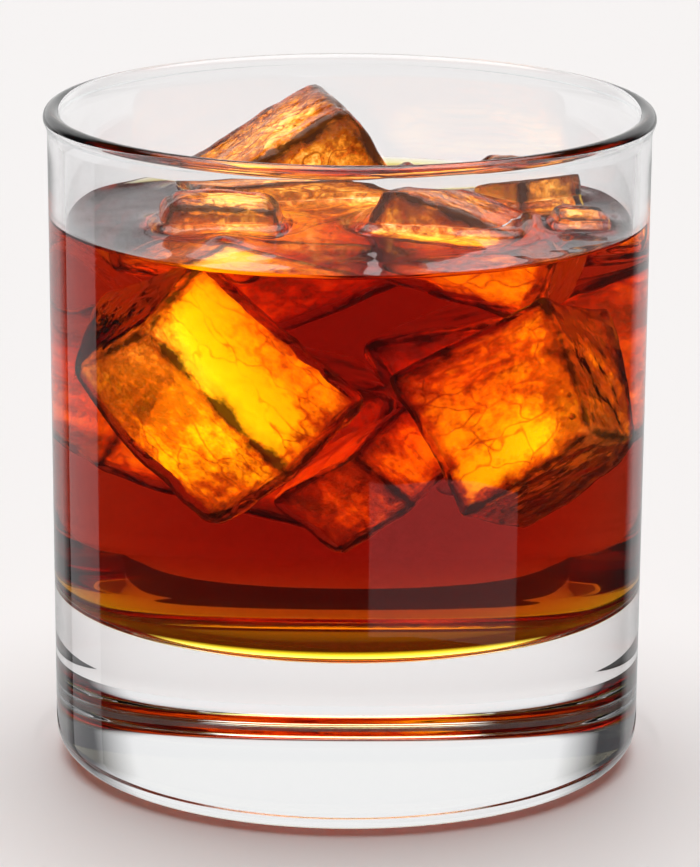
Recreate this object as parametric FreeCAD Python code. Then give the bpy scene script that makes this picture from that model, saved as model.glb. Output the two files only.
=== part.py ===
import FreeCAD, Part
import math
import os

# Whisky on the rocks in a straight-sided double old-fashioned tumbler.
# Millimetres, +Z up, origin at the middle of the foot, on the table.
# Nodes: the glass, the whisky, and each ice block that breaks the surface.

# ---- driving sizes: the glass -------------------------------------------
HEIGHT = 96.0            # foot to the top of the rim
RIM_R = 44.0             # outermost radius, at the bead on the rim
WALL_TOP_R = 43.4        # outer wall just under the bead
WALL_LOW_R = 42.7        # outer wall just over the foot curve
WALL_TOP = 2.2           # wall thickness under the bead
WALL_LOW = 2.8           # wall thickness at the floor
BEAD_R = 1.25            # radius of the rounded bead, seen in section
BEAD_WRAP = 35.0         # how far the bead's round turns under, in degrees
BEAD_DROP = 2.4          # how far the bead runs down the wall
FOOT_CURVE = 5.0         # outer radius between wall and foot
FOOT_R = 34.0            # inner edge of the flat foot ring
DISH = 1.2               # depth of the dished underside
FLOOR_Z = 24.5           # top of the thick base, inside the glass
FLOOR_CURVE = 3.5        # inner radius between wall and floor

# ---- driving sizes: the drink -------------------------------------------
LEVEL = 79.3             # liquid level over the table

# ---- driving sizes: ice --------------------------------------------------
# Each block: length, width, height; yaw, pitch, roll in degrees; centre x, y, z;
# taper (how much narrower one end is, as the tray mould leaves it); edge radius.
ICE = {
    "ice_front": ((31.0, 21.0, 20.5), (-1.0, 46.0, 45.0), (-17.0, -15.2, 59.4), 0.94, 2.4),
    "ice_back": ((29.0, 20.0, 24.0), (15.0, -30.0, 4.0), (-8.0, 19.5, 77.8), 0.90, 2.2),
    "ice_middle": ((23.0, 14.0, 12.5), (-8.0, 22.0, 6.0), (14.0, -2.5, 77.8), 0.92, 2.0),
    "ice_left": ((19.5, 11.0, 10.5), (4.0, 3.0, 8.0), (-18.5, -3.6, 79.0), 0.85, 3.4),
    "ice_right": ((13.5, 15.0, 14.0), (32.0, 8.0, -9.0), (26.6, 16.6, 78.4), 0.88, 2.6),
    "ice_chip": ((8.8, 6.0, 5.0), (6.0, 4.0, 10.0), (33.2, -2.6, 79.2), 0.90, 1.7),
}

# ---- worked out ----------------------------------------------------------
BEAD_Z = HEIGHT - BEAD_R         # level of the bead's widest ring
BEAD_IN_R = RIM_R - 2 * BEAD_R   # inner side of the bead
NECK_Z = BEAD_Z - BEAD_DROP      # where the bead runs out into the wall


def vec(r, z):
    """A point of a turned profile: radius and height, in the XZ plane."""
    return FreeCAD.Vector(r, 0, z)


def line(a, b):
    return Part.makeLine(vec(*a), vec(*b))


def arc(a, mid, b):
    return Part.Arc(vec(*a), vec(*mid), vec(*b)).toShape()


def turned(edges):
    """Turn a closed profile once round the Z axis into a solid."""
    face = Part.Face(Part.Wire(edges))
    solid = face.revolve(FreeCAD.Vector(0, 0, 0), FreeCAD.Vector(0, 0, 1), 360)
    return solid.removeSplitter()


def outer_r(z):
    """Radius of the outer wall, which opens very slightly towards the rim."""
    share = (z - FOOT_CURVE) / (NECK_Z - FOOT_CURVE)
    return WALL_LOW_R + (WALL_TOP_R - WALL_LOW_R) * share


def inner_r(z):
    """Radius of the inner wall, which is a little thicker low down."""
    share = (z - FLOOR_Z) / (NECK_Z - FLOOR_Z)
    return outer_r(z) - (WALL_LOW + (WALL_TOP - WALL_LOW) * share)


def floor_corner():
    """The rounded corner between inner wall and floor: start, middle and end."""
    top = (inner_r(FLOOR_Z + FLOOR_CURVE), FLOOR_Z + FLOOR_CURVE)
    end = (top[0] - FLOOR_CURVE, FLOOR_Z)
    inset = FLOOR_CURVE * (1 - math.cos(math.radians(45)))
    middle = (top[0] - inset, FLOOR_Z + inset)
    return top, middle, end


def make_glass():
    """Thick-based tumbler: foot, wall, beaded rim, inner wall and floor."""
    crown_r = RIM_R - BEAD_R
    turn_in = math.radians(BEAD_WRAP)
    bead_end = (crown_r + BEAD_R * math.cos(turn_in), BEAD_Z - BEAD_R * math.sin(turn_in))
    lean = BEAD_R * math.sin(math.radians(45))
    bead_in = (crown_r - lean, BEAD_Z + lean)
    bead_out = (crown_r + lean, BEAD_Z + lean)
    foot_out = WALL_LOW_R - FOOT_CURVE
    inset = FOOT_CURVE * (1 - math.cos(math.radians(45)))
    dish_r = (FOOT_R ** 2 + DISH ** 2) / (2 * DISH)
    dish_mid = (0.5 * FOOT_R, DISH - dish_r + math.sqrt(dish_r ** 2 - (0.5 * FOOT_R) ** 2))
    top, middle, end = floor_corner()
    edges = [
        line((0, DISH), (0, FLOOR_Z)),
        line((0, FLOOR_Z), end),
        arc(end, middle, top),
        line(top, (inner_r(NECK_Z), NECK_Z)),
        line((inner_r(NECK_Z), NECK_Z), (BEAD_IN_R, BEAD_Z)),
        arc((BEAD_IN_R, BEAD_Z), bead_in, (crown_r, HEIGHT)),
        arc((crown_r, HEIGHT), bead_out, bead_end),
        line(bead_end, (WALL_TOP_R, NECK_Z)),
        line((WALL_TOP_R, NECK_Z), (WALL_LOW_R, FOOT_CURVE)),
        arc((WALL_LOW_R, FOOT_CURVE), (WALL_LOW_R - inset, inset), (foot_out, 0)),
        line((foot_out, 0), (FOOT_R, 0)),
        arc((FOOT_R, 0), dish_mid, (0, DISH)),
    ]
    return turned(edges)


def make_drink_fill():
    """Everything inside the glass up to the level, before the ice is cut out."""
    top, middle, end = floor_corner()
    edges = [
        line((0, FLOOR_Z), end),
        arc(end, middle, top),
        line(top, (inner_r(LEVEL), LEVEL)),
        line((inner_r(LEVEL), LEVEL), (0, LEVEL)),
        line((0, LEVEL), (0, FLOOR_Z)),
    ]
    return turned(edges)


def make_ice(size, turn, centre, taper, edge):
    """One tray-moulded block: a tapered box with melted, rounded edges."""
    length, width, height = size
    yaw, pitch, roll = turn
    ends = []
    for z, k in ((-0.5 * height, 1.0), (0.5 * height, taper)):
        a = 0.5 * length * k
        b = 0.5 * width * k
        corners = [(-a, -b), (a, -b), (a, b), (-a, b), (-a, -b)]
        ends.append(Part.makePolygon([FreeCAD.Vector(x, y, z) for x, y in corners]))
    block = Part.makeLoft(ends, True, True)
    block = block.makeFillet(edge, block.Edges)
    spin = FreeCAD.Rotation(yaw, pitch, roll)
    block.Placement = FreeCAD.Placement(FreeCAD.Vector(*centre), spin)
    return block.Solids[0]


os.makedirs("parts", exist_ok=True)

glass = make_glass()
glass.exportStep("parts/glass.step")

whisky = make_drink_fill()
for name, (size, turn, centre, taper, edge) in ICE.items():
    block = make_ice(size, turn, centre, taper, edge)
    block.exportStep("parts/" + name + ".step")
    whisky = whisky.cut(block)

whisky.Solids[0].exportStep("parts/whisky.step")
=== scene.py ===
import math
import bmesh
import bpy
from mathutils import Matrix, Vector, noise


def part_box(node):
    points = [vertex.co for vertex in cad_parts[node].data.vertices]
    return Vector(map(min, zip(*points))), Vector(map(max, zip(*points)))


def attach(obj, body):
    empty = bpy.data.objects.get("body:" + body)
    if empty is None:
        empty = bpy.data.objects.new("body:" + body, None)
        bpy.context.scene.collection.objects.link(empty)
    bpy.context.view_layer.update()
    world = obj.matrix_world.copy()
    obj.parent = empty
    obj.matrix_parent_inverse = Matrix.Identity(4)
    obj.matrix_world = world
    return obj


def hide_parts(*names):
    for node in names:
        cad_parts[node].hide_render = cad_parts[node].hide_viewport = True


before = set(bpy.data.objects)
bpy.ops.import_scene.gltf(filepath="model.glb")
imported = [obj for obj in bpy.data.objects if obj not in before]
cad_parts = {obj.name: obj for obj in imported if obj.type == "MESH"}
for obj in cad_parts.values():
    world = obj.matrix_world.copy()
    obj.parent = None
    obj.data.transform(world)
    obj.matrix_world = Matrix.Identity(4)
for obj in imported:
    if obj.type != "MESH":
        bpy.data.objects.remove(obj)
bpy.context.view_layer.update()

# ---- The tumbler -----------------------------------------------------------
# A straight-sided double old-fashioned glass: clear soda-lime glass, pressed
# in one piece with a thick solid base, and its rim fire-polished into a bead.
mm = 0.001
glass_low, glass_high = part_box("glass")
rim_r = (glass_high[0] - glass_low[0]) / 2
glass_top = glass_high[2]
bead_r = 1.25 * mm
neck_z = glass_top - 3.65 * mm
wall_top_r, wall_low_r = 43.4 * mm, 42.7 * mm
wall_top, wall_low = 2.2 * mm, 2.8 * mm
foot_curve = 5.0 * mm
foot_r, dish = 34.0 * mm, 1.2 * mm
floor_z, floor_curve = 24.5 * mm, 3.5 * mm
around = 192


def outer_r(z):
    share = (z - foot_curve) / (neck_z - foot_curve)
    return wall_low_r + (wall_top_r - wall_low_r) * share


def inner_r(z):
    share = (z - floor_z) / (neck_z - floor_z)
    return outer_r(z) - (wall_low + (wall_top - wall_low) * share)


def arc_points(centre_r, centre_z, radius, start, end, steps):
    """Points on an arc of a turned profile; the angles are in degrees."""
    points = []
    for i in range(steps + 1):
        a = math.radians(start + (end - start) * i / steps)
        points.append((centre_r + radius * math.cos(a), centre_z + radius * math.sin(a)))
    return points


def turned_mesh(name, profile):
    """Turn a profile of (radius, height) points round Z; its ends are poles."""
    verts, faces, rings = [], [], []
    for r, z in profile:
        if r < 1e-7:
            rings.append([len(verts)])
            verts.append((0, 0, z))
            continue
        rings.append(list(range(len(verts), len(verts) + around)))
        for k in range(around):
            a = 2 * math.pi * k / around
            verts.append((r * math.cos(a), r * math.sin(a), z))
    for low, high in zip(rings, rings[1:]):
        for k in range(around):
            n = (k + 1) % around
            a, b = low[k % len(low)], low[n % len(low)]
            c, d = high[n % len(high)], high[k % len(high)]
            corners = [a]
            for v in (b, c, d):
                if v not in corners:
                    corners.append(v)
            faces.append(corners)
    mesh = bpy.data.meshes.new(name)
    mesh.from_pydata(verts, [], faces)
    work = bmesh.new()
    work.from_mesh(mesh)
    bmesh.ops.recalc_face_normals(work, faces=work.faces)
    work.to_mesh(mesh)
    work.free()
    return mesh


def place(name, mesh, materials, slot, *nodes):
    """A finished piece: smooth, in the scene, riding on the one body."""
    piece = bpy.data.objects.new(name, mesh)
    bpy.context.collection.objects.link(piece)
    for polygon in mesh.polygons:
        polygon.use_smooth = True
    if len(mesh.materials):
        mesh.materials.clear()
    for material in materials:
        mesh.materials.append(material)
    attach(piece, "root")
    if nodes:
        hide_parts(*nodes)
    return piece


class Wire:
    """One socket of a material, so that shader maths is written as arithmetic."""

    def __init__(self, tree, socket=None):
        self.tree = tree
        self.socket = socket

    def add(self, kind, settings=None, values=None, out=0):
        """Any node: its settings first, then the values or wires of its sockets."""
        made = self.tree.nodes.new(kind)
        for key, value in (settings or {}).items():
            if key == "stops":
                ramp = made.color_ramp.elements
                while len(ramp) < len(value):
                    ramp.new(0.5)
                for stop, (at, colour) in zip(ramp, value):
                    stop.position = at
                    stop.color = colour
            else:
                setattr(made, key, value)
        for key, value in (values or {}).items():
            if isinstance(value, Wire):
                self.tree.links.new(value.socket, made.inputs[key])
            else:
                made.inputs[key].default_value = value
        return Wire(self.tree, made.outputs[out])

    def maths(self, operation, a, b=0.0):
        return self.add("ShaderNodeMath", {"operation": operation}, {0: a, 1: b})

    def __add__(self, other):
        return self.maths("ADD", self, other)

    def __mul__(self, other):
        return self.maths("MULTIPLY", self, other)

    def __sub__(self, other):
        return self.maths("SUBTRACT", self, other)

    def __rsub__(self, other):
        return self.maths("SUBTRACT", other, self)

    def __gt__(self, other):
        return self.maths("GREATER_THAN", self, other)

    __radd__ = __add__
    __rmul__ = __mul__


def new_stuff(name):
    """A bare material: the material and a wire to build its nodes on."""
    stuff = bpy.data.materials.new(name)
    stuff.use_nodes = True
    stuff.node_tree.nodes.remove(stuff.node_tree.nodes["Principled BSDF"])
    return stuff, Wire(stuff.node_tree)


def see_through(wire, ior, tint, **links):
    """A clear shader that bends light by ior against what is outside it."""
    return wire.add("ShaderNodeBsdfPrincipled", {}, {
        "Base Color": tint, "Transmission Weight": 1.0, "IOR": ior, "Roughness": 0.0, **links})


def finish_with(stuff, surface, volume=None):
    """Join a shader, and a volume where there is one, to the material's output."""
    output = stuff.node_tree.nodes["Material Output"]
    stuff.node_tree.links.new(surface.socket, output.inputs["Surface"])
    if volume:
        stuff.node_tree.links.new(volume.socket, output.inputs["Volume"])


# Where the drink wets the inside, light goes from glass straight into liquid,
# which bends it much less than air does.
glass_ior, whisky_ior, ice_ior = 1.5, 1.36, 1.31
glass_finishes = []
for label, ior in (("tumbler_glass", glass_ior), ("wetted_glass", glass_ior / whisky_ior)):
    stuff, wire = new_stuff(label)
    spot = wire.add("ShaderNodeTexCoord", out=3)
    press_wave = wire.add("ShaderNodeTexNoise", {}, {"Vector": spot, "Scale": 34.0, "Detail": 1.0})
    bump = wire.add("ShaderNodeBump", {}, {"Height": press_wave, "Strength": 0.05, "Distance": 0.001})
    finish_with(stuff, see_through(wire, ior, (0.962, 0.967, 0.972, 1), Normal=bump))
    glass_finishes.append(stuff)

lower_in = inner_r(floor_z + floor_curve)
dish_ball = (foot_r ** 2 + dish ** 2) / (2 * dish)
crown_r = rim_r - bead_r
crown_z = glass_top - bead_r
profile = [(0.0, dish)]
for i in range(1, 13):
    r = foot_r * i / 12
    profile.append((r, dish - dish_ball + math.sqrt(dish_ball ** 2 - r ** 2)))
profile += [(35.5 * mm, 0.0), (37.0 * mm, 0.0)]
profile += arc_points(wall_low_r - foot_curve, foot_curve, foot_curve, -90, 0, 14)
for i in range(1, 25):
    z = foot_curve + (neck_z - foot_curve) * i / 24
    profile.append((outer_r(z), z))
bead_end = arc_points(crown_r, crown_z, bead_r, -35, -35, 1)[0]
for i in range(1, 6):
    s = i / 6
    profile.append((wall_top_r + (bead_end[0] - wall_top_r) * s ** 1.7,
                    neck_z + (bead_end[1] - neck_z) * s))
profile += arc_points(crown_r, crown_z, bead_r, -35, 180, 24)
for i in range(1, 6):
    s = i / 6
    neck_in = inner_r(neck_z)
    profile.append((neck_in + (rim_r - 2 * bead_r - neck_in) * (1 - s) ** 1.7,
                    crown_z + (neck_z - crown_z) * s))
level = 79.3 * mm
contact_z = level + 1.25 * mm
for i in range(9):
    z = neck_z + (contact_z - neck_z) * i / 8
    profile.append((inner_r(z), z))
for i in range(1, 25):
    z = contact_z + (floor_z + floor_curve - contact_z) * i / 24
    profile.append((inner_r(z), z))
profile += arc_points(lower_in - floor_curve, floor_z + floor_curve, floor_curve, 0, -90, 12)[1:]
for i in range(1, 8):
    profile.append(((lower_in - floor_curve) * (1 - i / 8), floor_z))
profile.append((0.0, floor_z))
tumbler = turned_mesh("tumbler", profile)
for polygon in tumbler.polygons:
    at = polygon.center
    inside = at.z > floor_z - 0.1 * mm and math.hypot(at.x, at.y) < inner_r(at.z) + 0.5 * mm
    polygon.material_index = 1 if inside and at.z < contact_z else 0
place("tumbler", tumbler, glass_finishes, "glass", "glass")

# ---- The ice ---------------------------------------------------------------
# Blocks from a tray mould, tapered a little, their edges melted round and
# chipped, with fine bubbles in them and, under the skin, a shell of painted glow. They float free.

# Size, turn (yaw, pitch and roll in degrees), centre, taper and edge radius, in
# millimetres. A block with no centre takes its place from the frame.
ice_blocks = {
    "ice_front": ((31.0, 21.0, 20.5), (-1.0, 46.0, 45.0), None, 0.94, 2.4),
    "ice_back": ((29.0, 20.0, 24.0), (15.0, -30.0, 4.0), None, 0.90, 2.2),
    "ice_middle": ((23.0, 14.0, 12.5), (-8.0, 22.0, 6.0), None, 0.92, 2.0),
    "ice_left": ((19.5, 11.0, 10.5), (4.0, 3.0, 8.0), None, 0.85, 3.4),
    "ice_right": ((13.5, 15.0, 14.0), (32.0, 8.0, -9.0), None, 0.88, 2.6),
    "ice_chip": ((8.8, 6.0, 5.0), (6.0, 4.0, 10.0), None, 0.90, 1.7),
    "ice_sunk_right": ((23.5, 17.0, 24.0), (-10.0, -32.0, -21.0), (21.4, -9.4, 55.0), 0.96, 1.2),
    "ice_sunk_low": ((11.5, 17.0, 15.0), (-1.0, 46.0, 30.0), (2.6, -4.5, 45.0), 0.94, 1.4),
    "ice_sunk_back": ((27.0, 22.0, 22.0), (12.0, 20.0, 8.0), (-12.0, 17.5, 49.5), 0.94, 2.0),
    "ice_sunk_far": ((23.0, 20.0, 25.0), (-24.0, -18.0, 10.0), (17.5, 18.0, 54.5), 0.94, 2.0),
}
grain = 30
edge_reach = 5.5 * mm
glow_shell_depth, glow_shell_share = 1.3, 0.62
bubbles_a_block, bubble_take = 45, 0.2
wet_index = 0.915


def ice_shell(size, taper, edge, seed):
    """A block's skin in its own axes: rounded, tapered, melted and chipped."""
    half = Vector(size) * mm / 2
    edge = edge * mm
    core = half - Vector((edge, edge, edge))
    shift = Vector((seed * 3.1, seed * 1.7, seed * 0.9))
    work = bmesh.new()
    bmesh.ops.create_cube(work, size=2)
    bmesh.ops.subdivide_edges(work, edges=work.edges[:], cuts=grain - 1, use_grid_fill=True)
    rim = work.verts.layers.float.new("rim")
    for v in work.verts:
        raw = Vector((v.co.x * half.x, v.co.y * half.y, v.co.z * half.z))
        to_edge = sorted(half[i] - abs(raw[i]) for i in range(3))[1]
        v[rim] = max(0.0, 1 - to_edge / min(edge_reach, 0.7 * min(half)))
        near = Vector(tuple(max(-core[i], min(core[i], raw[i])) for i in range(3)))
        out = raw - near
        corner = max(0.0, (out.length / edge - 1) / 0.41)
        out.normalize()
        at = near + out * edge
        lean = 1 + (taper - 1) * (at.z / half.z + 1) / 2
        at.x *= lean
        at.y *= lean
        q = at / mm + shift
        melt = 0.45 * noise.noise(q / 9.0) + 0.18 * noise.noise(q / 3.6)
        cells = noise.voronoi(q / 4.2)[0]
        melt -= 0.30 * (0.6 - min(cells[0], 0.6))
        melt += 0.10 * noise.noise(q / 1.5)
        chip = max(0.0, noise.noise(q / 4.6 + Vector((9, 4, 2))) - 0.05)
        melt -= 1.5 * chip * min(1.0, corner)
        v.co = at + out * melt * mm
    mesh = bpy.data.meshes.new("ice_skin")
    work.to_mesh(mesh)
    work.free()
    return mesh


def add_glow_shell(work, skin, depth, seed):
    """A shell of painted glow in a block: an uneven shell some way under its skin."""
    heart = bmesh.new()
    heart.from_mesh(skin)
    heart.normal_update()
    for v, out in [(v, v.normal.copy()) for v in heart.verts]:
        v.co -= out * depth * (1.0 + 0.25 * noise.noise(v.co / (3.0 * mm) + Vector((seed, 0, 0))))
    for f in heart.faces:
        f.material_index = 1
    made = bpy.data.meshes.new("heart")
    heart.to_mesh(made)
    heart.free()
    work.from_mesh(made)
    bpy.data.meshes.remove(made)


# Painted pools of light in the ice, where the light from above would gather,
# listed: across, up, spread and strength.
painted_glow_spots = [
    (-17.5, 63, 6.5, 0.9), (-11, 56, 6.5, 0.8), (-17.5, 73, 3.5, 0.7), (-20.5, 49, 4.5, 1.7),
    (-13, 44, 4, 0.8), (11, 53, 4, 0.9), (23, 52, 4, 0.9), (15, 45, 4, 0.9), (18, 60, 5, 0.35),
    (4, 44, 4, 0.30), (-9, 87, 4.5, 0.9), (3, 83, 3, 0.6), (8, 74, 6, 0.9), (18, 73, 5, 0.7),
    (36, 74, 5, 0.6), (-19, 84, 4, 0.5), (30, 83, 4, 0.35)]


def painted_glow_at(local, half, spin, at):
    """How much painted glow a point of the glowing shell shows, from 0 to about 1."""
    lean = max(range(3), key=lambda i: abs(local[i]) / half[i])
    axis = Vector((0, 0, 0))
    axis[lean] = math.copysign(1, local[lean])
    facing = spin.to_3x3() @ axis
    # Painted light by facing: faces turned up and to the front glow more, faces turned left less.
    share = 0.25 + 0.75 * max(0.0, facing.z) + 0.55 * max(0.0, -facing.y)
    share -= 0.5 * max(0.0, -facing.x)
    # Painted shade: the glow fades near the block's edges.
    rest = [half[i] - abs(local[i]) for i in range(3) if i != lean]
    ramp = max(0.0, min(1.0, (min(rest) - 0.9 * mm) / (2.4 * mm)))
    # Painted pools of light at the listed spots.
    pool = sum(a * math.exp(-((at.x / mm - x) ** 2 + (at.z / mm - z) ** 2) / (2 * s * s))
               for x, z, s, a in painted_glow_spots)
    return max(0.0, share) * (0.10 + pool) * (0.15 + 0.85 * ramp)


ice_stuff, wire = new_stuff("clear_ice")
spot = wire.add("ShaderNodeTexCoord", out=3)
frost = wire.add("ShaderNodeTexNoise", {}, {"Vector": spot, "Scale": 150.0, "Detail": 1.0})
frost = wire.add("ShaderNodeMapRange", {}, {"Value": frost, "From Min": 0.5, "From Max": 0.75,
                                            "To Min": 0.0, "To Max": 0.12})
ridge = wire.add("ShaderNodeTexNoise", {}, {"Vector": spot, "Scale": 420.0, "Detail": 3.0})
bump = wire.add("ShaderNodeBump", {}, {"Height": ridge, "Strength": 0.6, "Distance": 0.0004})
height = wire.add("ShaderNodeSeparateXYZ", {}, {0: spot}, out=2)
in_air = wire.maths("MAXIMUM", height > contact_z,
                    wire.add("ShaderNodeAttribute", {"attribute_name": "gap"}, out=2))
rim = wire.add("ShaderNodeAttribute", {"attribute_name": "rim"}, out=2)
mottle = wire.add("ShaderNodeTexNoise", {}, {"Vector": spot, "Scale": 260.0, "Detail": 4.0,
                                             "Roughness": 0.6})
# Painted shade: the ice's tint grows darker towards its edges, broken up by random mottling.
mottle_and_edge_shade = wire.add("ShaderNodeMapRange", {}, {"Value": rim + (mottle - 0.5) * 1.3, "From Min": 0.25,
                                              "From Max": 0.85})
# Painted shade: an opaque dark brown along the edges, more of it in the air.
painted_dark_edges = wire.add("ShaderNodeMapRange", {}, {
    "Value": rim + (mottle - 0.5) * 1.3 + in_air * 0.17, "From Min": 0.78, "From Max": 0.98,
    "To Max": 0.88})
dry_tint = wire.add("ShaderNodeMix", {"data_type": "RGBA"},
                    {0: mottle_and_edge_shade, 6: (0.66, 0.31, 0.06, 1), 7: (0.26, 0.09, 0.02, 1)}, out=2)
wet_tint = wire.add("ShaderNodeMix", {"data_type": "RGBA"},
                    {0: mottle_and_edge_shade, 6: (1, 1, 1, 1), 7: (0.62, 0.30, 0.14, 1)}, out=2)
dry_ice = see_through(wire, ice_ior, dry_tint, Roughness=frost, Normal=bump)
wet_ice = see_through(wire, wet_index, wet_tint, Roughness=frost, Normal=bump)
clear_part = wire.add("ShaderNodeMixShader", {}, {0: in_air, 1: wet_ice, 2: dry_ice})
# The painted shade along the edges: an opaque dark brown shader.
painted_edge_shade = wire.add("ShaderNodeBsdfPrincipled", {}, {
    "Base Color": (0.11, 0.036, 0.010, 1), "Roughness": 0.18, "IOR": ice_ior, "Normal": bump})
finish_with(ice_stuff, wire.add("ShaderNodeMixShader", {}, {
    0: painted_dark_edges, 1: clear_part, 2: painted_edge_shade}))

# A shell just under the skin with painted glow and painted gold glints, standing for the light that
# trapped air gathers.
glow_shell_stuff, wire = new_stuff("ice_cloud")
within = wire.add("ShaderNodeAttribute", {"attribute_name": "in_block"}, out=1)
along = wire.add("ShaderNodeMapping", {}, {"Vector": within, "Scale": (0.45, 1.0, 1.0)})
broad = wire.add("ShaderNodeTexNoise", {}, {"Vector": along, "Scale": 170.0, "Detail": 2.0})
fine = wire.add("ShaderNodeTexNoise", {}, {"Vector": within, "Scale": 620.0, "Detail": 4.0,
                                           "Roughness": 0.7})
grainy = broad * 0.45 + fine * 0.55
caught = wire.add("ShaderNodeAttribute", {"attribute_name": "glow"}, out=2)
wander = wire.add("ShaderNodeTexNoise", {}, {"Vector": within, "Scale": 260.0, "Detail": 1.0},
                  out=1)
wander = wire.add("ShaderNodeVectorMath", {"operation": "SCALE"}, {0: wander, "Scale": 0.0035})
bent = wire.add("ShaderNodeVectorMath", {"operation": "ADD"}, {0: along, 1: wander})
crazed = wire.add("ShaderNodeTexVoronoi", {"feature": "DISTANCE_TO_EDGE"},
                  {"Vector": bent, "Scale": 230.0})
crazed = wire.add("ShaderNodeMapRange", {}, {"Value": crazed, "From Min": 0.0, "From Max": 0.04,
                                             "To Min": 0.55, "To Max": 1.0})
lit = wire.add("ShaderNodeMapRange", {}, {"Value": (caught + (grainy - 0.5) * 2.8) * crazed,
                                          "From Min": 0.05, "From Max": 0.90})
height = wire.add("ShaderNodeSeparateXYZ", {}, {0: wire.add("ShaderNodeTexCoord", out=3)}, out=2)
# Colours of the painted glow, under the liquid and in the air.
sunk_light = wire.add("ShaderNodeValToRGB", {"stops": [
    (0.0, (0.03, 0.004, 0.001, 1)), (0.35, (0.55, 0.13, 0.03, 1)), (0.65, (1.0, 0.55, 0.20, 1)),
    (1.0, (1.0, 0.95, 0.72, 1))]}, {"Fac": lit})
dry_light = wire.add("ShaderNodeValToRGB", {"stops": [
    (0.0, (0.015, 0.004, 0.001, 1)), (0.4, (0.15, 0.05, 0.007, 1)), (0.7, (0.50, 0.25, 0.04, 1)),
    (1.0, (0.95, 0.72, 0.36, 1))]}, {"Fac": lit})
shone = wire.add("ShaderNodeMix", {"data_type": "RGBA"},
                 {0: height > contact_z, 6: sunk_light, 7: dry_light}, out=2)
# Painted gold glints: a metallic gold shader roughened by fine specks, with the painted glow as its
# emission.
specks = wire.add("ShaderNodeTexNoise", {}, {"Vector": within, "Scale": 900.0, "Detail": 1.0})
bump = wire.add("ShaderNodeBump", {}, {"Height": specks, "Strength": 0.9, "Distance": 0.0005})
painted_glow_and_glints = wire.add("ShaderNodeBsdfPrincipled", {}, {
    "Base Color": (0.70, 0.40, 0.16, 1), "Metallic": 1.0, "Roughness": 0.22, "Normal": bump,
    "Emission Color": shone, "Emission Strength": 2.1})
clear = wire.add("ShaderNodeBsdfTransparent")
cover = lit * 0.5 + 0.28 + (height > contact_z) * 0.3
finish_with(glow_shell_stuff, wire.add("ShaderNodeMixShader", {}, {0: cover, 1: clear, 2: painted_glow_and_glints}))
glow_shell_stuff.cycles.emission_sampling = "NONE"

bubble_tree = bpy.data.node_groups.new("frozen_bubbles", "GeometryNodeTree")
face = bubble_tree.interface
face.new_socket("Skin", in_out="INPUT", socket_type="NodeSocketGeometry")
for label, kind, value in (("Density", "Float", 5e6), ("Smallest", "Float", 0.0001),
                           ("Largest", "Float", 0.0005), ("Core", "Float", 0.6),
                           ("Seed", "Int", 1)):
    socket = face.new_socket(label, in_out="INPUT", socket_type="NodeSocket" + kind)
    socket.default_value = value
face.new_socket("Ice", in_out="OUTPUT", socket_type="NodeSocketGeometry")


def tree_node(kind, values, **settings):
    made = bubble_tree.nodes.new(kind)
    for key, value in settings.items():
        setattr(made, key, value)
    for key, value in values.items():
        if isinstance(value, bpy.types.NodeSocket):
            bubble_tree.links.new(value, made.inputs[key])
        else:
            made.inputs[key].default_value = value
    return made


given = tree_node("NodeGroupInput", {}).outputs
heart = tree_node("ShaderNodeCombineXYZ",
                  {"X": given["Core"], "Y": given["Core"], "Z": given["Core"]})
inner = tree_node("GeometryNodeTransform", {"Geometry": given["Skin"], "Scale": heart.outputs[0]})
filled = tree_node("GeometryNodeMeshToVolume", {"Mesh": inner.outputs[0], "Voxel Amount": 28.0},
                   resolution_mode="VOXEL_AMOUNT")
points = tree_node("GeometryNodeDistributePointsInVolume", {
    "Volume": filled.outputs[0], "Density": given["Density"], "Seed": given["Seed"]})
size = tree_node("FunctionNodeRandomValue", {2: given["Smallest"], 3: given["Largest"],
                                             "Seed": given["Seed"]}, data_type="FLOAT")
bead = tree_node("GeometryNodeMeshIcoSphere", {"Radius": 1.0, "Subdivisions": 2})
beads = tree_node("GeometryNodeInstanceOnPoints", {"Points": points.outputs[0],
                                                   "Instance": bead.outputs[0],
                                                   "Scale": size.outputs[1]})
real = tree_node("GeometryNodeRealizeInstances", {"Geometry": beads.outputs[0]})
hollow = tree_node("GeometryNodeFlipFaces", {"Mesh": real.outputs[0]})
both = bubble_tree.nodes.new("GeometryNodeJoinGeometry")
bubble_tree.links.new(given["Skin"], both.inputs[0])
bubble_tree.links.new(hollow.outputs[0], both.inputs[0])
all_real = tree_node("GeometryNodeRealizeInstances", {"Geometry": both.outputs[0]})
dressed = tree_node("GeometryNodeSetMaterial", {"Geometry": all_real.outputs[0],
                                                "Material": ice_stuff})
sink = bubble_tree.nodes.new("NodeGroupOutput")
bubble_tree.links.new(dressed.outputs[0], sink.inputs[0])


def set_inputs(modifier, **values):
    for item in modifier.node_group.interface.items_tree:
        if item.item_type == "SOCKET" and item.in_out == "INPUT" and item.name in values:
            modifier[item.identifier] = values[item.name]


def spot_of(face):
    """A face's centre, to the nearest thousandth of a millimetre."""
    return tuple(round(c * 1e6) for c in face.center)


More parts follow.
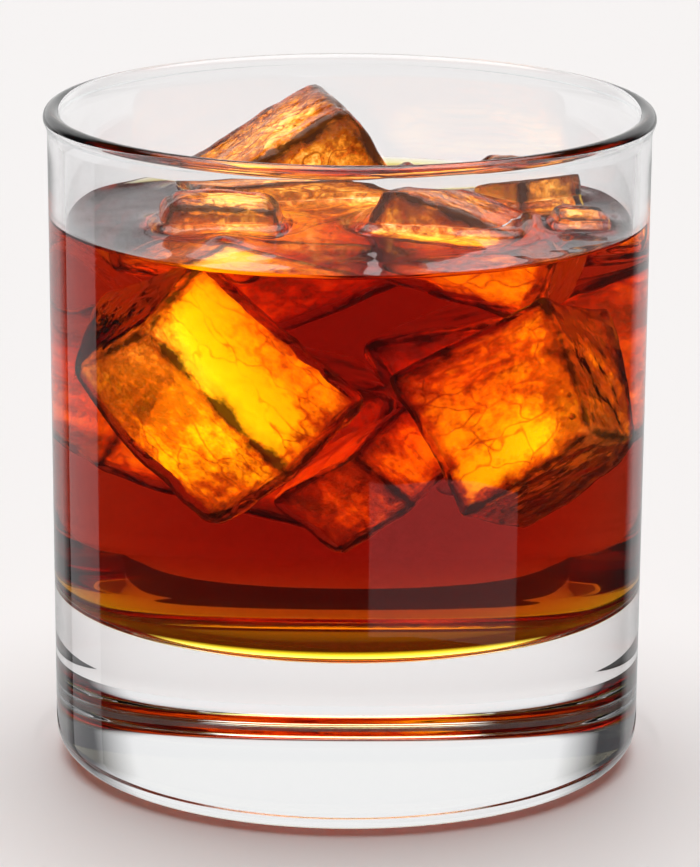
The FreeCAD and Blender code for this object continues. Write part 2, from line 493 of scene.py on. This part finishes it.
ice_skins = {}
ice_places = {}
for number, (name, (size, turn, centre, taper, edge)) in enumerate(ice_blocks.items()):
    skin = ice_shell(size, taper, edge, number + 1)
    yaw, pitch, roll = (math.radians(v) for v in turn)
    spin = (Matrix.Rotation(yaw, 4, "Z") @ Matrix.Rotation(pitch, 4, "Y")
            @ Matrix.Rotation(roll, 4, "X"))
    if centre is None:
        low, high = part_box(name)
        middle = (Vector(low) + Vector(high)) / 2
        turned = [spin @ v.co for v in skin.vertices]
        mid = Vector([(min(p[i] for p in turned) + max(p[i] for p in turned)) / 2
                      for i in range(3)])
        settle = Matrix.Translation(middle - mid) @ spin
    else:
        settle = Matrix.Translation(Vector(centre) * mm) @ spin
    ice_places[name] = (settle, Vector(size) * mm / 2, edge * mm)

    bulk = size[0] * size[1] * size[2]
    holder = bpy.data.objects.new(name + "_making", skin)
    bpy.context.collection.objects.link(holder)
    seeded = holder.modifiers.new("bubbles", "NODES")
    seeded.node_group = bubble_tree
    crowd = bubbles_a_block / (bulk * 1e-9) / bubble_take
    set_inputs(seeded, Density=min(6e6, crowd), Seed=number + 5)
    graph = bpy.context.evaluated_depsgraph_get()
    solid = bpy.data.meshes.new_from_object(holder.evaluated_get(graph))
    bpy.data.objects.remove(holder)

    work = bmesh.new()
    work.from_mesh(solid)
    for f in work.faces:
        f.material_index = 0
    half = Vector(size) * mm / 2
    add_glow_shell(work, skin, min(glow_shell_depth, glow_shell_share * edge) * mm, number * 5.3)
    work.to_mesh(solid)
    work.free()
    skin_at = {spot_of(p) for p in skin.polygons}
    gap = solid.attributes.new("gap", "FLOAT", "FACE")
    in_block = solid.attributes.new("in_block", "FLOAT_VECTOR", "POINT")
    in_block.data.foreach_set("vector", [c + number * 0.05 for v in solid.vertices for c in v.co])
    glow = solid.attributes.new("glow", "FLOAT", "POINT")
    shown = [painted_glow_at(v.co, half, spin, settle @ v.co) for v in solid.vertices]
    glow.data.foreach_set("value", shown)
    leaves = [p.material_index for p in solid.polygons]
    for p in solid.polygons:
        gap.data[p.index].value = float(spot_of(p) not in skin_at)
    solid.transform(settle)
    skin.transform(settle)
    ice_skins[name] = skin
    nodes = [name] if centre is None else []
    place(name + "_block", solid, [ice_stuff, glow_shell_stuff], "ice", *nodes)
    solid.polygons.foreach_set("material_index", leaves)

# ---- The whisky ------------------------------------------------------------
# An amber spirit, deep red-brown through the whole glass and yellow
# where it's thin. It wets glass and ice, so its surface climbs against both.
into_glass = 0.06 * mm
off_ice = 0.05 * mm
climb_wall, climb_ice, highest_climb = 1.25 * mm, 1.15 * mm, 1.7 * mm


def from_block(name, point):
    """How far a point is from a block's rounded box."""
    settle, half, edge = ice_places[name]
    local = settle.inverted() @ point
    away = Vector([max(0.0, abs(local[i]) - (half[i] - edge)) for i in range(3)])
    return max(0.0, away.length - edge)


standing = [name for name, made in ice_blocks.items() if made[2] is None]


def surface_z(x, y):
    """The height of the liquid: level, plus its climb at the wall and the ice."""
    r = math.hypot(x, y)
    wall = inner_r(level) + into_glass
    climb = climb_wall * math.exp(-(wall - r) / (1.7 * mm))
    at = Vector((x, y, level))
    for name in standing:
        gap = from_block(name, at)
        if gap < 9 * mm:
            climb += climb_ice * math.exp(-gap / (1.5 * mm))
    ripple = 0.07 * mm * noise.noise(Vector((x, y, 0)) / (4.5 * mm))
    return level + min(climb, highest_climb) + ripple


bottom = floor_z - into_glass
profile = [(0.0, bottom)]
for i in range(1, 9):
    profile.append(((lower_in - floor_curve) * i / 8, bottom))
profile += arc_points(lower_in - floor_curve, floor_z + floor_curve, floor_curve + into_glass,
                      -90, 0, 12)[1:]
for i in range(1, 41):
    z = floor_z + floor_curve + (contact_z - floor_z - floor_curve) * i / 40
    profile.append((inner_r(z) + into_glass, z))
wall_rings = len(profile)
top_r = profile[-1][0]
rings = 72
for i in range(1, rings):
    share = 1 - i / rings
    profile.append((top_r * (1 - (1 - share) ** 1.35), level))
profile.append((0.0, level))
drink = turned_mesh("whisky", profile)
first_top = 1 + (wall_rings - 1) * around
for v in drink.vertices:
    if v.index >= first_top:
        v.co.z = surface_z(v.co.x, v.co.y)
for p in drink.polygons:
    p.material_index = 1 if max(p.vertices) >= first_top else 0
for label in ("wall", "open", "ice"):
    drink.materials.append(bpy.data.materials.new("made_" + label))

drink_body = bpy.data.objects.new("whisky_making", drink)
bpy.context.collection.objects.link(drink_body)
sunk_mesh = bmesh.new()
for name, skin in ice_skins.items():
    work = bmesh.new()
    work.from_mesh(skin)
    work.normal_update()
    moves = [(v, v.normal.copy()) for v in work.verts]
    for v, out in moves:
        v.co -= out * off_ice
    for f in work.faces:
        f.material_index = 2
    if name in standing:
        cutter_mesh = bpy.data.meshes.new(name + "_hollow")
        work.to_mesh(cutter_mesh)
        cutter = bpy.data.objects.new(name + "_hollow", cutter_mesh)
        bpy.context.collection.objects.link(cutter)
        cut = drink_body.modifiers.new("hollow", "BOOLEAN")
        cut.operation = "DIFFERENCE"
        cut.solver = "EXACT"
        cut.object = cutter
        bpy.context.view_layer.update()
        cut_mesh = bpy.data.meshes.new_from_object(
            drink_body.evaluated_get(bpy.context.evaluated_depsgraph_get()))
        drink_body.modifiers.clear()
        drink_body.data = cut_mesh
        bpy.data.objects.remove(cutter)
    else:
        bmesh.ops.reverse_faces(work, faces=work.faces[:])
        hollow_mesh = bpy.data.meshes.new("hollow")
        work.to_mesh(hollow_mesh)
        sunk_mesh.from_mesh(hollow_mesh)
    work.free()
sunk_mesh.from_mesh(drink_body.data)
whole_drink = bpy.data.meshes.new("whisky_body")
sunk_mesh.to_mesh(whole_drink)
sunk_mesh.free()
bpy.data.objects.remove(drink_body)
open_face = whole_drink.attributes.new("open_face", "FLOAT", "FACE")
for p in whole_drink.polygons:
    open_face.data[p.index].value = float(p.material_index == 1)
    p.material_index = 0

whisky_stuff, wire = new_stuff("whisky")
free_top = see_through(wire, whisky_ior, (1, 1, 1, 1))
against = wire.add("ShaderNodeBsdfTransparent")
in_the_open = wire.add("ShaderNodeAttribute", {"attribute_name": "open_face"}, out=2)
soak = wire.add("ShaderNodeVolumeAbsorption", {},
                {"Color": (0.9733, 0.8800, 0.0, 1), "Density": 600.0})
skin_of_it = wire.add("ShaderNodeMixShader", {}, {0: in_the_open, 1: against, 2: free_top})
finish_with(whisky_stuff, skin_of_it, soak)
place("whisky_drink", whole_drink, [whisky_stuff], "whisky", "whisky")

# ---- The studio ------------------------------------------------------------
# A wide pale table top under a bright sky of diffusers, darker to both sides,
# so that the edges of the glass draw themselves. Reflections don't show the
# table top; they show the lower half of the sky.
table = bpy.data.meshes.new("table_top")
table.from_pydata([(-4, -4, 0), (4, -4, 0), (4, 4, 0), (-4, 4, 0)], [], [(0, 1, 2, 3)])
table_top = bpy.data.objects.new("table_top", table)
bpy.context.collection.objects.link(table_top)
pale = bpy.data.materials.new("pale_table")
pale.use_nodes = True
pale_shader = pale.node_tree.nodes["Principled BSDF"]
pale_shader.inputs["Base Color"].default_value = (0.86, 0.86, 0.86, 1)
pale_shader.inputs["Roughness"].default_value = 0.55
table.materials.append(pale)
table_top.visible_glossy = False

# A black card lies round the back of the foot as a painted shadow, and only the glass sees it.
# It narrows to a point at both ends.
card_in, card_wide, card_lift, card_steps = 46 * mm, 7 * mm, 0.6 * mm, 36
black = bpy.data.materials.new("black_card")
black.use_nodes = True
black_shader = black.node_tree.nodes["Principled BSDF"]
black_shader.inputs["Base Color"].default_value = (0.02, 0.02, 0.02, 1)
black_shader.inputs["Roughness"].default_value = 1.0
cards = bmesh.new()
for k in range(card_steps):
    a, b = (math.pi * (j / card_steps - 0.5) for j in (k, k + 1))
    ring = [(r * math.sin(t), r * math.cos(t), card_lift) for r, t in
            ((card_in, a), (card_in + card_wide * math.cos(a), a),
             (card_in + card_wide * math.cos(b), b), (card_in, b))]
    cards.faces.new([cards.verts.new(c) for c in ring])
card_mesh = bpy.data.meshes.new("black_ring")
cards.to_mesh(card_mesh)
cards.free()
card_mesh.materials.append(black)
black_ring = bpy.data.objects.new("black_ring", card_mesh)
bpy.context.collection.objects.link(black_ring)
black_ring.visible_camera = False
black_ring.visible_diffuse = False
black_ring.visible_shadow = False

world = bpy.data.worlds.new("studio")
world.use_nodes = True
bpy.context.scene.world = world
sky = Wire(world.node_tree)


def laid_over(factor, under, over):
    """One part of the sky in place of another, as far as the factor says."""
    return sky.add("ShaderNodeMix", {"data_type": "RGBA"}, {0: factor, 6: under, 7: over}, out=2)


way = sky.add("ShaderNodeTexCoord", out=0)
split = world.node_tree.nodes.new("ShaderNodeSeparateXYZ")
world.node_tree.links.new(way.socket, split.inputs[0])
x, y, z = (Wire(world.node_tree, split.outputs[i]) for i in range(3))
round_about = sky.maths("ARCTAN2", x, y)
aside = sky.maths("ABSOLUTE", round_about)
all_round = sky.add("ShaderNodeValToRGB", {"stops": [
    (0.0, (1.28, 1.28, 1.28, 1)), (0.19, (1.28, 1.28, 1.28, 1)), (0.27, (0.05, 0.05, 0.055, 1)),
    (0.45, (0.06, 0.06, 0.065, 1)), (0.55, (0.45, 0.45, 0.46, 1)), (1.0, (0.35, 0.35, 0.36, 1))]},
    {"Fac": aside * (1 / math.pi)})
up = sky.add("ShaderNodeMapRange", {}, {
    "Value": z * 0.98 + y * 0.2, "From Min": 0.80, "From Max": 0.88})
belt = sky.add("ShaderNodeMapRange", {}, {"Value": z, "From Min": 0.50, "From Max": 0.58})
all_round = laid_over(belt, all_round, (0.16, 0.055, 0.02, 1))
whole_sky = laid_over(up, all_round, (4.3, 4.3, 4.3, 1))
low_sky = sky.add("ShaderNodeValToRGB", {"stops": [
    (0.0, (0.8, 0.8, 0.8, 1)), (0.18, (0.8, 0.8, 0.8, 1)), (0.23, (0.03, 0.03, 0.03, 1)),
    (1.0, (0.03, 0.03, 0.03, 1))]}, {"Fac": aside * (1 / math.pi)})
below = sky.add("ShaderNodeMapRange", {}, {"Value": z, "From Min": -0.03, "From Max": 0.0})
# Two soft boxes stand low in front: a strip to the left, a broad one to the right.
left_strip = (round_about > -1.17) * (-0.73 - round_about > 0.0)
right_box = (round_about > 1.94) * (3.0 - round_about > 0.0) * (-0.2726 - z > 0.0) * (z > -0.3010)
low_sky = laid_over(left_strip, low_sky, (0.8, 0.8, 0.82, 1))
low_sky = laid_over(right_box, low_sky, (0.6, 0.57, 0.57, 1))
whole_sky = laid_over(below, low_sky, whole_sky)
back = world.node_tree.nodes["Background"]
world.node_tree.links.new(whole_sky.socket, back.inputs["Color"])
back.inputs["Strength"].default_value = 0.74

camera_data = bpy.data.cameras.new("camera")
camera = bpy.data.objects.new("camera", camera_data)
bpy.context.collection.objects.link(camera)
camera_data.sensor_width = 36.0
camera_data.lens = 216.84
camera_data.clip_start = 0.05
tilt = math.radians(14.404)
distance = 760.76 * mm
turn = Matrix.Rotation(math.pi / 2 - tilt, 4, "X") @ Matrix.Rotation(math.radians(0.324), 4, "Z")
aim = Vector((0, 0, 48.1 * mm))
away = Vector((0, -math.cos(tilt), math.sin(tilt))) * distance
across = Vector((1, 0, 0)) * 0.284 * mm
down = Vector((0, -math.sin(tilt), -math.cos(tilt))) * 0.495 * mm
camera.matrix_world = Matrix.Translation(aim + away + across + down) @ turn
bpy.context.scene.camera = camera
bpy.context.scene.view_settings.view_transform = "Standard"
cycles = bpy.context.scene.cycles
cycles.max_bounces = 20
cycles.transmission_bounces = 20
cycles.glossy_bounces = 8
cycles.volume_bounces = 0
cycles.transparent_max_bounces = 24
cycles.sample_clamp_indirect = 6.0
